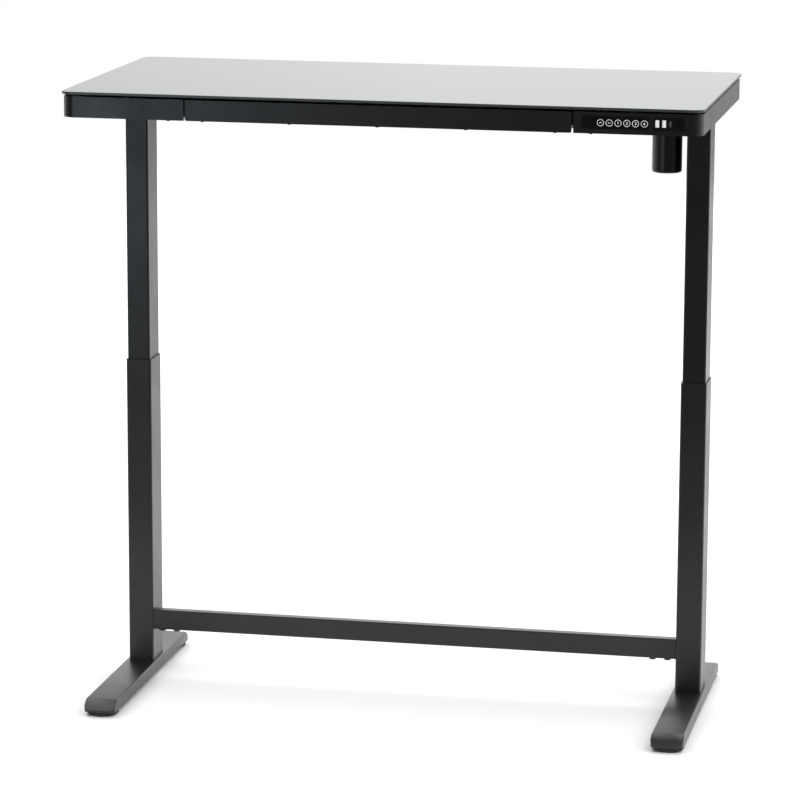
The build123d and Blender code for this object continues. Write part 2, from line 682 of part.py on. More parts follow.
def power_inlet():
    """A two-pin mains inlet with a flange outside the apron."""
    x_span, y_span, z_span = inlet_body()
    x, z = sum(x_span) / 2, sum(z_span) / 2
    flange = block((x - 17, x + 17), (APRON_Y, APRON_Y + SHEET), (z - 13, z + 13))
    body = block(x_span, y_span, z_span) + fillet(flange.edges().filter_by(Axis.Y), 3)
    for dx in (-4.3, 4.3):
        body -= bar_along_y(x + dx, (APRON_Y - 12, APRON_Y + SHEET), z, 4.6)
    body -= block((x - 4.3, x + 4.3), (APRON_Y - 12, APRON_Y + SHEET), (z - 3.2, z + 3.2))
    for dx in (-4.3, 4.3):
        body += bar_along_y(x + dx, (APRON_Y - 12, APRON_Y - 2), z, 1.2)
    return body


def control_box():
    """The open case of the controller."""
    x_span, y_span, z_span = CONTROL_BOX
    case = fillet(block(*CONTROL_BOX).edges().filter_by(Axis.Z), 4)
    room = [(low + 2, high - 2) for low, high in (x_span, y_span)]
    return case - block(*room, (z_span[0] + 2, z_span[1]))


def control_box_lid():
    """The flat lid of the controller's case."""
    x_span, y_span, z_span = CONTROL_BOX
    lid = block(x_span, y_span, (z_span[1], z_span[1] + 2))
    return fillet(lid.edges().filter_by(Axis.Z), 4)


def circuit_boards():
    """The controller board, the touch board behind the panel and the charger board."""
    x_span, y_span, z_span = CONTROL_BOX
    floor = z_span[0] + 5
    main = block((x_span[0] + 4, x_span[1] - 4), (y_span[0] + 4, y_span[1] - 4), (floor, floor + 1.6))
    for x, y, half, height in BOARD_PARTS:
        main += block((x - half, x + half), (y - half, y + half), (floor + 1.6, floor + height))
    back = panel_faces()[1] + 4
    touch = block((PANEL[0] + 4, PANEL[1] - 4), (back, back + 1.6), (PANEL_BOTTOM + 3, PANEL_TOP - 3))
    charger = block((USB_PLATE[0] + 3, USB_PLATE[1] - 6), (-277, -275.4), (PANEL_BOTTOM + 3, PANEL_TOP - 3))
    return [main, touch, charger]


def panel_faces():
    """Front and rear of the panel plates, whose rims stand just proud of the apron."""
    return -APRON_Y - 0.4, -APRON_Y + SHEET


def inset_plate(x_span):
    """A moulded plate that fills a window in the apron, with a thin rim over its edge."""
    face, back = panel_faces()
    rim = block(x_span, (face, -APRON_Y), (PANEL_BOTTOM, PANEL_TOP))
    rim = fillet(rim.edges().filter_by(Axis.Y), 2)
    window = (x_span[0] + 1.5, x_span[1] - 1.5)
    return rim + block(window, (-APRON_Y, back), (PANEL_BOTTOM + 1.5, PANEL_TOP - 1.5))


def control_panel():
    """The touch panel, whose six keys are printed on it and have no travel."""
    plate = inset_plate(PANEL)
    back = panel_faces()[1]
    for x in (PANEL[0] + 6, PANEL[1] - 6):
        plate += bar_along_y(x, (back, back + 4), PORT_Z, 1.5)
    return plate


def port_spaces():
    """The openings of two upright USB-A ports and one upright USB-C port."""
    spaces = [block((x - 3.7, x + 3.7), (-300, -290), (PORT_Z - 6.8, PORT_Z + 6.8)) for x in USB_A_X]
    slot = block((USB_C_X - 2.2, USB_C_X + 2.2), (-300, -290), (PORT_Z - 5, PORT_Z + 5))
    return spaces + [fillet(slot.edges().filter_by(Axis.Y), 2.1)]


def usb_plate():
    """The plate round the charging ports, with a shallow ring for the status light."""
    plate = inset_plate(USB_PLATE) - Compound(children=port_spaces())
    face = panel_faces()[0]
    ring = bar_along_y(STATUS_RING_X, (face, face + 0.3), PORT_Z, 4.5)
    return plate - (ring - bar_along_y(STATUS_RING_X, (face, face + 0.3), PORT_Z, 3.7))


def usb_sockets():
    """Two USB-A sockets and one USB-C socket, each a metal shell round a tongue."""
    y_front, y_back = panel_faces()[0] + 0.2, -277.0
    sockets = []
    for x in USB_A_X:
        shell = block((x - 3.7, x + 3.7), (y_front, y_back), (PORT_Z - 6.8, PORT_Z + 6.8))
        shell -= block((x - 3.3, x + 3.3), (y_front, y_back - 2), (PORT_Z - 6.4, PORT_Z + 6.4))
        tongue = block((x + 0.7, x + 2.5), (y_front + 1, y_back - 2), (PORT_Z - 5.6, PORT_Z + 5.6))
        sockets.append(shell + tongue)
    outline = block((USB_C_X - 2.2, USB_C_X + 2.2), (y_front, y_back), (PORT_Z - 5, PORT_Z + 5))
    shell = fillet(outline.edges().filter_by(Axis.Y), 2.1)
    room = block((USB_C_X - 1.8, USB_C_X + 1.8), (y_front, y_back - 2), (PORT_Z - 4.6, PORT_Z + 4.6))
    shell -= fillet(room.edges().filter_by(Axis.Y), 1.7)
    tongue = block((USB_C_X - 0.4, USB_C_X + 0.4), (y_front + 1, y_back - 2), (PORT_Z - 3.4, PORT_Z + 3.4))
    return sockets + [shell + tongue]


def lead(points, radius):
    """A round lead along straight runs joined by arcs."""
    corners = points[1:-1]
    if not corners:
        path = Line(*points)
    else:
        path = FilletPolyline(*points, radius=8)
    return sweep(Plane(origin=path @ 0, z_dir=path % 0) * Circle(radius), path=path)


def internal_leads():
    """Leads from the controller to the motor, the mains inlet, the panel and the ports."""
    box_front, box_rear = CONTROL_BOX[1]
    motor_x, motor_z = MOTOR_LEAD
    mains_x, mains_z = MAINS_LEAD
    mains_end = inlet_body()[1][0]
    housing_front = COLUMN_Y - HOUSING_HALF_DEPTH
    touch_back = panel_faces()[1] + 5.6
    return [
        lead([(motor_x, box_rear, motor_z), (motor_x, housing_front, motor_z)], 3),
        lead([(mains_x, box_rear, mains_z), (mains_x, mains_end, mains_z)], 2.5),
        lead([(430, box_front, 1184), (430, -262, 1184), (445, -270, 1184), (445, touch_back, 1184)], 1.8),
        lead([(520, box_front, 1184), (520, -275.4, 1184)], 1.8),
    ]


os.makedirs("parts", exist_ok=True)
both = (-COLUMN_X, COLUMN_X)

for side_name, column_x in (("left", -COLUMN_X), ("right", COLUMN_X)):
    save(f"{side_name}_foot", foot(column_x))
    save(f"{side_name}_outer_column", outer_column(column_x))
    save(f"{side_name}_inner_column", inner_column(column_x))
    save(f"{side_name}_column_head", column_head(column_x))
    save(f"{side_name}_lift_screw", lift_screw(column_x))
    save(f"{side_name}_screw_gear", upright_gear(column_x, 5.5))
for leveller_name, leveller_x, leveller_y in leveller_places():
    save(leveller_name, leveller(leveller_x, leveller_y))

save("upper_glides", *[upper_glide(x) for x in both])
save("lower_glides", *[lower_glide(x) for x in both])
save("column_base_plates", *[base_plate(x) for x in both])
save("nut_posts", *[nut_post(x) for x in both])
save("drive_nuts", *[drive_nut(x) for x in both])
save("screw_bearings", *[screw_bearing(x) for x in both])
save("crossbeam", crossbeam())
save("beam_brackets", beam_bracket(-1), beam_bracket(1))
save("base_bolts", *beam_bolts(), *column_bolts(-COLUMN_X), *column_bolts(COLUMN_X))

housings = ((-COLUMN_X, HEAD_HALF_WIDTH), (MOTOR_X, MOTOR_HALF_WIDTH), (COLUMN_X, HEAD_HALF_WIDTH))
save("motor_gear_housing", motor_gear_housing())
save("gear_housing_lids", *[housing_lid(*place) for place in housings])
save("shaft_bushes", *[ring for place in housings for ring in shaft_bushes(*place)])
save("housing_bolts", *[bolt for place in housings for bolt in housing_bolts(place[0])])
save("shaft_pinions", *[shaft_pinion(place[0]) for place in housings])
save("drive_shaft", drive_shaft())
save("motor_can", motor_can())
save("motor_end_cap", motor_end_cap())
save("motor_output", motor_output())

save("glass_top", glass_top())
save("glass_pads", *glass_pads())
save("left_apron", left_apron())
save("right_apron", right_apron())
save("rear_apron", rear_apron())
save("frame_rails", rail(FRONT_RAIL_Y), rail(REAR_RAIL_Y))
save("stringers", *stringers())
save("left_underside_cover", end_cover(-1))
save("right_underside_cover", end_cover(1))
save("centre_underside_cover", centre_cover())
save("cover_screws", *cover_screws())

save("drawer_front", drawer_front())
save("drawer_tray", drawer_tray())
save("drawer_screws", *drawer_screws())
save("slide_outer_rails", slide_outer(-1), slide_outer(1))
save("slide_inner_rails", slide_inner(-1), slide_inner(1))
save("ball_cages", *ball_cage(-1), *ball_cage(1))

save("control_box", control_box())
save("control_box_lid", control_box_lid())
save("circuit_boards", *circuit_boards())
save("internal_leads", *internal_leads())
save("power_inlet", power_inlet())
save("control_panel", control_panel())
save("usb_plate", usb_plate())
save("usb_sockets", *usb_sockets())
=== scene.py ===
import math

import bmesh
import bpy
from mathutils import Matrix, Vector


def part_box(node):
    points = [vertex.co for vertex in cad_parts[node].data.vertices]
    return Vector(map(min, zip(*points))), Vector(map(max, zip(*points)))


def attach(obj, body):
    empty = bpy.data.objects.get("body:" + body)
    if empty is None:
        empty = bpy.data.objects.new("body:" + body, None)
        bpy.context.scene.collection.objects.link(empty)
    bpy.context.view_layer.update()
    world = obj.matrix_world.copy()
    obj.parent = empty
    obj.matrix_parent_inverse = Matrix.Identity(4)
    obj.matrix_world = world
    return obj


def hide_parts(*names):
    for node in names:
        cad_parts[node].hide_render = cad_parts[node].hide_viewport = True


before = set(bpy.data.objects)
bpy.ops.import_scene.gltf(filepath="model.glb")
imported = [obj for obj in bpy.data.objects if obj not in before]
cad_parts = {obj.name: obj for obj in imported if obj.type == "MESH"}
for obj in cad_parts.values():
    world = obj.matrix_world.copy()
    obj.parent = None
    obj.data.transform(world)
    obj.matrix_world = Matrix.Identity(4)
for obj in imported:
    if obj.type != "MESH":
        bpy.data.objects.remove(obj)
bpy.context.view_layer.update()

scene = bpy.context.scene


# Studio: a pale floor on a white ground, a bright wall of light behind the desk and a darker room in
# front of it, with a broad light overhead and a soft box at each side. The camera stands to the right,
# far back, with a long lens.

def place(tree, kind, values=None, **settings):
    """Adds a node, sets its properties, and sets or links each of the sockets named in values."""
    made = tree.nodes.new(kind)
    for key, value in settings.items():
        setattr(made, key, value)
    for key, value in (values or {}).items():
        if isinstance(value, bpy.types.NodeSocket):
            tree.links.new(value, made.inputs[key])
        else:
            made.inputs[key].default_value = value
    return made


def object_spots(tree):
    """The socket that gives where a point is on its own object."""
    return place(tree, "ShaderNodeTexCoord").outputs["Object"]


# Each row gives an axis of the room, where along it the light changes, and its strength at both ends.
ROOM_LEVELS = (
    ("Y", -0.45, 0.75, 0.2, 1.35, "SMOOTHSTEP"),
    ("X", -0.29, -0.19, 0.86, 1.0, "LINEAR"),
    ("Z", 0.3, 0.8, 1.0, 0.55, "LINEAR"),
    ("Z", -0.14, -0.02, 0.3, 1.0, "LINEAR"),
)
ROOM_TINT = (0.97, 0.985, 1.0, 1)
COOL_WHITE = (0.8, 0.92, 1.0)


def build_studio_light():
    """Light for reflections from the room's levels; the camera itself sees plain white."""
    world = bpy.data.worlds.new("studio")
    world.use_nodes = True
    tree = world.node_tree
    tree.nodes.clear()
    direction = place(tree, "ShaderNodeTexCoord").outputs["Generated"]
    axes = place(tree, "ShaderNodeSeparateXYZ", {"Vector": direction})
    room = None
    for axis, start, end, low, high, ease in ROOM_LEVELS:
        level = place(tree, "ShaderNodeMapRange", {
            "Value": axes.outputs[axis],
            "From Min": start, "From Max": end, "To Min": low, "To Max": high,
        }, interpolation_type=ease).outputs[0]
        if room:
            level = place(tree, "ShaderNodeMath", {0: room, 1: level}, operation="MULTIPLY").outputs[0]
        room = level
    soft = place(tree, "ShaderNodeBackground", {"Color": ROOM_TINT, "Strength": room})
    plain = place(tree, "ShaderNodeBackground", {"Color": (1, 1, 1, 1), "Strength": 1.0})
    seen = place(tree, "ShaderNodeLightPath").outputs["Is Camera Ray"]
    mixed = place(tree, "ShaderNodeMixShader", {0: seen, 1: soft.outputs[0], 2: plain.outputs[0]})
    place(tree, "ShaderNodeOutputWorld", {"Surface": mixed.outputs[0]})
    scene.world = world


def soft_box(name, position, target, size, power, colour=(1, 1, 1)):
    """A rectangular area light that faces its target."""
    lamp = bpy.data.lights.new(name, "AREA")
    lamp.color = colour
    lamp.shape = "RECTANGLE"
    lamp.size, lamp.size_y = size
    lamp.energy = power
    box = bpy.data.objects.new(name, lamp)
    box.location = position
    box.rotation_euler = (Vector(target) - Vector(position)).to_track_quat("-Z", "Y").to_euler()
    scene.collection.objects.link(box)


build_studio_light()
soft_box("right_strip", (3.4, -1.6, 1.5), (0.5, 0, 0.9), (0.7, 2.6), 1.2)
soft_box("left_front_box", (-1.9, -4.2, 0.5), (-0.45, -0.3, 1.18), (1.0, 0.44), 9, COOL_WHITE)
ceiling = bpy.data.objects.new("ceiling_light", bpy.data.lights.new("ceiling_light", "SUN"))
ceiling.data.energy = 3.2
ceiling.data.angle = math.radians(120)
ceiling.rotation_euler = (math.radians(-12), math.radians(8), 0)
scene.collection.objects.link(ceiling)
scene.view_settings.view_transform = "Standard"

FLOOR_REACH = 9.0
FLOOR_FRONT = -1.1
FLOOR_REAR = 7.0
floor_mesh = bpy.data.meshes.new("studio_floor")
floor_mesh.from_pydata([
    (-FLOOR_REACH, FLOOR_FRONT, 0), (FLOOR_REACH, FLOOR_FRONT, 0),
    (FLOOR_REACH, FLOOR_REAR, 0), (-FLOOR_REACH, FLOOR_REAR, 0),
], [], [(0, 1, 2, 3)])
studio_floor = bpy.data.objects.new("studio_floor", floor_mesh)
scene.collection.objects.link(studio_floor)
floor_paint = bpy.data.materials.new("floor_paint")
floor_paint.use_nodes = True
floor_tree = floor_paint.node_tree
floor_shader = floor_tree.nodes["Principled BSDF"]
floor_shader.inputs["Roughness"].default_value = 0.7
floor_noise = place(floor_tree, "ShaderNodeTexNoise", {"Vector": object_spots(floor_tree), "Scale": 0.8})
floor_shade = place(floor_tree, "ShaderNodeMix", {
    0: floor_noise.outputs["Fac"], 6: (0.93, 0.93, 0.93, 1), 7: (0.95, 0.95, 0.95, 1),
}, data_type="RGBA")
floor_tree.links.new(floor_shade.outputs[2], floor_shader.inputs["Base Color"])
floor_mesh.materials.append(floor_paint)

CAMERA_PLACE = (1.415, -6.9595, 2.0527)
CAMERA_TURN = 0.2026
CAMERA_DIP = 0.2026
CAMERA_ROLL = 0.0042
lens = bpy.data.cameras.new("camera")
lens.sensor_width = 36
lens.lens = 169.06
camera = bpy.data.objects.new("camera", lens)
look = Matrix.Rotation(CAMERA_TURN, 4, "Z") @ Matrix.Rotation(math.pi / 2 - CAMERA_DIP, 4, "X")
camera.matrix_world = Matrix.Translation(CAMERA_PLACE) @ look @ Matrix.Rotation(CAMERA_ROLL, 4, "Z")
scene.collection.objects.link(camera)
scene.camera = camera


# Glass top: 5 mm tempered glass, enamelled black on its underside, with ground and polished edges.
# It lies on rubber pads and overhangs the apron all round by 2 mm.

def material(name, **sockets):
    """A new material; returns it with its node tree and its Principled shader."""
    made = bpy.data.materials.new(name)
    made.use_nodes = True
    shader = made.node_tree.nodes["Principled BSDF"]
    for key, value in sockets.items():
        shader.inputs[key.replace("_", " ")].default_value = value
    return made, made.node_tree, shader


def group_tree(name, inputs, outputs):
    """A shader node group with named float inputs and outputs; returns it with its two end nodes."""
    tree = bpy.data.node_groups.new(name, "ShaderNodeTree")
    for label, value in inputs.items():
        socket = tree.interface.new_socket(label, in_out="INPUT", socket_type="NodeSocketFloat")
        socket.default_value = value
    for label in outputs:
        tree.interface.new_socket(label, in_out="OUTPUT", socket_type="NodeSocketFloat")
    return tree, tree.nodes.new("NodeGroupInput"), tree.nodes.new("NodeGroupOutput")


def mix_colour(tree, factor, first, second):
    """Mixes two colours by a mask and returns the colour socket."""
    return place(tree, "ShaderNodeMix", {0: factor, 6: first, 7: second}, data_type="RGBA").outputs[2]


def scale_range(tree, value, low, high):
    """Maps a 0 to 1 mask on to a range and returns the value socket."""
    return place(tree, "ShaderNodeMapRange", {"Value": value, "To Min": low, "To Max": high}).outputs[0]


def bump(tree, shader, height, distance):
    """Feeds a height into the shader's normal; distance is the real depth in metres."""
    node = place(tree, "ShaderNodeBump", {"Height": height, "Distance": distance})
    tree.links.new(node.outputs[0], shader.inputs["Normal"])


# Handling marks are the faint smears and settled dust that any handled surface has. They change the
# gloss more than the colour.
handling, handling_in, handling_out = group_tree("handling marks", {"Size": 0.12}, ["Smear", "Dust"])
handled_at = object_spots(handling)
per_size = place(handling, "ShaderNodeMath", {0: 1.0, 1: handling_in.outputs["Size"]}, operation="DIVIDE")
smear = place(handling, "ShaderNodeTexNoise", {
    "Vector": handled_at, "Scale": per_size.outputs[0],
    "Detail": 5.0, "Roughness": 0.6, "Distortion": 0.8,
})
smear_mask = place(handling, "ShaderNodeMapRange", {
    "Value": smear.outputs["Fac"], "From Min": 0.38, "From Max": 0.72,
})
specks = place(handling, "ShaderNodeTexNoise", {"Vector": handled_at, "Scale": 900.0, "Detail": 2.0})
speck_mask = place(handling, "ShaderNodeMapRange", {
    "Value": specks.outputs["Fac"], "From Min": 0.66, "From Max": 0.8,
})
facing = place(handling, "ShaderNodeSeparateXYZ", {
    "Vector": place(handling, "ShaderNodeNewGeometry").outputs["Normal"],
})
settled = place(handling, "ShaderNodeMath", {
    0: facing.outputs["Z"], 1: speck_mask.outputs[0],
}, operation="MULTIPLY", use_clamp=True)
handling.links.new(smear_mask.outputs[0], handling_out.inputs["Smear"])
handling.links.new(settled.outputs[0], handling_out.inputs["Dust"])


def add_group(tree, group, **values):
    """Places a node group in a material and sets its inputs."""
    node = place(tree, "ShaderNodeGroup", node_tree=group)
    for key, value in values.items():
        node.inputs[key.replace("_", " ")].default_value = value
    return node.outputs


black_glass, tree, shader = material("black_glass", IOR=1.52, Specular_IOR_Level=0.5)
marks = add_group(tree, handling, Size=0.35)
tint = mix_colour(tree, marks["Smear"], (0.014, 0.015, 0.018, 1), (0.018, 0.02, 0.023, 1))
dusty = mix_colour(tree, scale_range(tree, marks["Dust"], 0.0, 0.12), tint, (0.3, 0.3, 0.3, 1))
tree.links.new(dusty, shader.inputs["Base Color"])
tree.links.new(scale_range(tree, marks["Smear"], 0.035, 0.075), shader.inputs["Roughness"])
ripple = place(tree, "ShaderNodeTexNoise", {
    "Vector": object_spots(tree), "Scale": 2.2, "Detail": 1.0,
})
bump(tree, shader, ripple.outputs["Fac"], 0.0002)

ground_edge, tree, shader = material("ground_glass_edge", IOR=1.52, Roughness=0.3)
grinding = place(tree, "ShaderNodeTexNoise", {
    "Vector": place(tree, "ShaderNodeMapping", {
        "Vector": object_spots(tree), "Scale": (60.0, 60.0, 4000.0),
    }).outputs[0], "Scale": 1.0, "Detail": 3.0,
})
tree.links.new(
    mix_colour(tree, grinding.outputs["Fac"], (0.055, 0.062, 0.06, 1), (0.10, 0.112, 0.108, 1)),
    shader.inputs["Base Color"],
)
tree.links.new(scale_range(tree, grinding.outputs["Fac"], 0.22, 0.38), shader.inputs["Roughness"])
bump(tree, shader, grinding.outputs["Fac"], 0.00003)


def corner_loop(half_x, half_y, radius, steps):
    """Points round a rectangle with rounded corners, counterclockwise from above."""
    points = []
    for quarter, (sx, sy) in enumerate(((1, 1), (-1, 1), (-1, -1), (1, -1))):
        for step in range(steps + 1):
            angle = math.pi / 2 * (quarter + step / steps)
            x = sx * (half_x - radius) + radius * math.cos(angle)
            y = sy * (half_y - radius) + radius * math.sin(angle)
            points.append((x, y))
    return points


def new_piece(name, mesh, body, slot, *materials):
    """Links a finished mesh as a piece that rides on a body."""
    piece = bpy.data.objects.new(name, mesh)
    scene.collection.objects.link(piece)
    for finish in materials:
        mesh.materials.append(finish)
    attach(piece, body)
    return piece


def smooth(mesh, angle=32):
    """Shades a mesh smooth except over edges sharper than the angle."""
    mesh.shade_smooth()
    mesh.set_sharp_from_angle(angle=math.radians(angle))


def stacked(name, centre, loops):
    """A closed mesh through loops of equal count, each (points, z), from the bottom up."""
    shape = bmesh.new()
    rows = [
        [shape.verts.new((x + centre[0], y + centre[1], z)) for x, y in points]
        for points, z in loops
    ]
    count = len(rows[0])
    for low, high in zip(rows, rows[1:]):
        for index in range(count):
            after = (index + 1) % count
            shape.faces.new((low[index], low[after], high[after], high[index]))
    shape.faces.new(list(reversed(rows[0])))
    shape.faces.new(rows[-1])
    mesh = bpy.data.meshes.new(name)
    shape.to_mesh(mesh)
    shape.free()
    return mesh


glass_low, glass_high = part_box("glass_top")
glass_middle = (glass_low + glass_high) / 2
glass_half = (glass_high - glass_low) / 2
GLASS_CORNER = 0.020
CORNER_STEPS = 14
EDGE_ROUND = 0.0009
EDGE_STEPS = 4
FLAT_RIM = 3 * EDGE_ROUND
turns = [math.pi / 2 * step / EDGE_STEPS for step in range(EDGE_STEPS + 1)]
profile = [(FLAT_RIM, 0)]
profile += [(EDGE_ROUND * (1 - math.sin(turn)), EDGE_ROUND * (1 - math.cos(turn))) for turn in turns]
levels = [(inset, glass_low.z + lift) for inset, lift in profile]
levels += [(inset, glass_high.z - lift) for inset, lift in reversed(profile)]
edge_loops = [
    (corner_loop(glass_half.x - inset, glass_half.y - inset, GLASS_CORNER - inset, CORNER_STEPS), z)
    for inset, z in levels
]
glass_mesh = stacked("tabletop", glass_middle, edge_loops)
smooth(glass_mesh, 60)
tabletop = new_piece("tabletop", glass_mesh, "top", "black_glass", black_glass, ground_edge)
for face in glass_mesh.polygons:
    face.material_index = 0 if abs(face.normal.z) > 0.999 else 1
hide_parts("glass_top")


# Pads: black rubber discs that the glass is bonded to, on the apron's flange and on the two rails.
# The levelling pads are moulded from the same dense rubber.

rubber, tree, shader = material("black_rubber", IOR=1.5, Sheen_Weight=0.15, Sheen_Roughness=0.4)
marks = add_group(tree, handling, Size=0.012)
pores = place(tree, "ShaderNodeTexNoise", {
    "Vector": object_spots(tree), "Scale": 1400.0, "Detail": 3.0,
})
scuffed = mix_colour(tree, marks["Smear"], (0.017, 0.017, 0.017, 1), (0.026, 0.026, 0.025, 1))
dusty = mix_colour(tree, scale_range(tree, marks["Dust"], 0.0, 0.35), scuffed, (0.22, 0.21, 0.2, 1))
tree.links.new(dusty, shader.inputs["Base Color"])
tree.links.new(scale_range(tree, pores.outputs["Fac"], 0.55, 0.72), shader.inputs["Roughness"])
bump(tree, shader, pores.outputs["Fac"], 0.00004)


def paint(finish, *nodes):
    """Gives CAD parts their finish."""
    for name in nodes:
        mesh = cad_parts[name].data
        mesh.materials.clear()
        mesh.materials.append(finish)


paint(rubber, "glass_pads")


# Painted steel: the apron, drawer, columns, feet and crossbeam share one satin black powder coat, baked on
# after welding. The melted powder leaves a fine orange peel, and is a little thinner along sharp edges.

peel, peel_in, peel_out = group_tree("orange peel", {"Cell": 0.0012, "Patch": 0.09}, ["Height", "Patch"])
peel_at = object_spots(peel)
cells = place(peel, "ShaderNodeMath", {0: 1.0, 1: peel_in.outputs["Cell"]}, operation="DIVIDE")
patches = place(peel, "ShaderNodeMath", {0: 1.0, 1: peel_in.outputs["Patch"]}, operation="DIVIDE")
peel_fine = place(peel, "ShaderNodeTexNoise", {
    "Vector": peel_at, "Scale": cells.outputs[0], "Detail": 2.5, "Roughness": 0.55,
})
peel_patch = place(peel, "ShaderNodeTexNoise", {
    "Vector": peel_at, "Scale": patches.outputs[0], "Detail": 3.0,
})
peel.links.new(peel_fine.outputs["Fac"], peel_out.inputs["Height"])
peel.links.new(peel_patch.outputs["Fac"], peel_out.inputs["Patch"])

edges, edges_in, edges_out = group_tree("edge mask", {"Width": 0.0008}, ["Edge"])
edge_round = place(edges, "ShaderNodeBevel", {"Radius": edges_in.outputs["Width"]}, samples=4)
edge_dot = place(edges, "ShaderNodeVectorMath", {
    0: edge_round.outputs[0], 1: place(edges, "ShaderNodeNewGeometry").outputs["Normal"],
}, operation="DOT_PRODUCT")
edge_mask = place(edges, "ShaderNodeMapRange", {
    "Value": edge_dot.outputs["Value"], "From Min": 0.99, "From Max": 0.75,
})
edges.links.new(edge_mask.outputs[0], edges_out.inputs["Edge"])


def painted(name, colour, light, gloss, cell=0.0012, depth=0.00005, edge=0.18):
    """A sprayed finish: colour and its lighter shade, roughness range, peel size and depth, edge wear."""
    made, tree, shader = material(name)
    grain = add_group(tree, peel, Cell=cell)
    marks = add_group(tree, handling, Size=0.16)
    rim = add_group(tree, edges, Width=0.0009)
    base = mix_colour(tree, grain["Patch"], (*colour, 1), (*light, 1))
    worn = mix_colour(tree, scale_range(tree, rim["Edge"], 0, edge), base, (0.16, 0.16, 0.165, 1))
    dusted = mix_colour(tree, scale_range(tree, marks["Dust"], 0, 0.1), worn, (0.35, 0.34, 0.33, 1))
    tree.links.new(dusted, shader.inputs["Base Color"])
    tree.links.new(scale_range(tree, marks["Smear"], *gloss), shader.inputs["Roughness"])
    bump(tree, shader, grain["Height"], depth)
    return made


powder_black = painted("powder_black", (0.0105, 0.0105, 0.0115), (0.014, 0.014, 0.0152), (0.29, 0.37))


def rounded_copy(node, name, body, slot, finish, radius, segments=3):
    """A CAD part again with its sharp edges rounded: folds, sawn ends and moulded rims."""
    shape = bmesh.new()
    shape.from_mesh(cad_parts[node].data)
    bmesh.ops.remove_doubles(shape, verts=shape.verts, dist=1e-6)
    bmesh.ops.dissolve_limit(shape, angle_limit=math.radians(0.5), verts=shape.verts, edges=shape.edges)
    mesh = bpy.data.meshes.new(name)
    shape.to_mesh(mesh)
    shape.free()
    piece = new_piece(name, mesh, body, slot, finish)
    rounding = piece.modifiers.new("rounding", "BEVEL")
    rounding.width = radius
    rounding.segments = segments
    rounding.limit_method = "ANGLE"
    rounding.angle_limit = math.radians(40)
    rounding.harden_normals = True
    smooth(mesh, 40)
    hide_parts(node)


# Apron: 1.5 mm sheet steel folded to a shallow tray wall, in a left end, a right end and a rear length.
# The right end has windows for the panel, the ports and the mains inlet.

FOLD_ROUND = 0.0006
for part in ("left_apron", "right_apron", "rear_apron"):
    rounded_copy(part, part.replace("apron", "skirt"), "top", "powder_coat", powder_black, FOLD_ROUND)


# Frame in the apron: two rails of rectangular tube along the desk and four stringers across it, welded to
# the apron and painted with it. Three flat sheet covers close it from below, each on screws.

paint(powder_black, "frame_rails", "stringers")
paint(powder_black, *[f"{where}_underside_cover" for where in ("left", "right", "centre")])


# Drawer: a folded front, screwed from below to an open tray of thin sheet, on two ball-bearing slides
# of zinc-plated channel.

THIN_FOLD_ROUND = 0.0004
rounded_copy("drawer_front", "drawer_face", "drawer", "powder_coat", powder_black, FOLD_ROUND)
rounded_copy("drawer_tray", "drawer_pan", "drawer", "powder_coat", powder_black, THIN_FOLD_ROUND, 2)


def metal(name, colour, light, gloss, stretch=(900.0, 900.0, 900.0), depth=0.00001):
    """Bare metal: colour range, roughness range, and how its tooling lines run."""
    made, tree, shader = material(name, Metallic=1.0)
    lines = place(tree, "ShaderNodeTexNoise", {
        "Vector": place(tree, "ShaderNodeMapping", {
            "Vector": object_spots(tree), "Scale": stretch,
        }).outputs[0], "Scale": 1.0, "Detail": 4.0, "Roughness": 0.6,
    })
    marks = add_group(tree, handling, Size=0.05)
    rim = add_group(tree, edges, Width=0.0004)
    toned = mix_colour(tree, lines.outputs["Fac"], (*colour, 1), (*light, 1))
    bright = mix_colour(tree, scale_range(tree, rim["Edge"], 0, 0.5), toned, (*light, 1))
    tree.links.new(bright, shader.inputs["Base Color"])
    roughness = place(tree, "ShaderNodeMath", {
        0: scale_range(tree, lines.outputs["Fac"], *gloss),
        1: scale_range(tree, marks["Smear"], 0.0, 0.08),
    }, operation="ADD")
    tree.links.new(roughness.outputs[0], shader.inputs["Roughness"])
    bump(tree, shader, lines.outputs["Fac"], depth)
    return made


zinc_plate = metal(
    "zinc_plate", (0.5, 0.52, 0.54), (0.68, 0.7, 0.73), (0.22, 0.36), (400.0, 60.0, 900.0))
paint(zinc_plate, "slide_outer_rails", "slide_inner_rails", "ball_cages")


# Columns: two rectangular steel tubes a side, the upper sliding in the lower on moulded glides. The
# upper right tube shows its ground-off weld seam as a faint line down the front.

paint(powder_black, *[f"{side}_{tube}_column" for tube in ("outer", "inner") for side in ("left", "right")])


def closed_box(name, *spans):
    """A closed mesh of boxes, each given by its spans on the three axes."""
    shape = bmesh.new()
    for x_span, y_span, z_span in spans:
        corner = Vector((x_span[0], y_span[0], z_span[0]))
        size = Vector((x_span[1], y_span[1], z_span[1])) - corner
        put = Matrix.Translation(corner + size / 2) @ Matrix.Diagonal((*size, 1))
        bmesh.ops.create_cube(shape, size=1, matrix=put)
    mesh = bpy.data.meshes.new(name)
    shape.to_mesh(mesh)
    shape.free()
    return mesh


seam_paint = painted("seam_paint", (0.004, 0.004, 0.0045), (0.006, 0.006, 0.0065), (0.5, 0.6))
column_low, column_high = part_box("right_inner_column")
SEAM_OFF_CENTRE = 0.002
SEAM_PROUD = 0.00002
SEAM_DEPTH = 0.0002
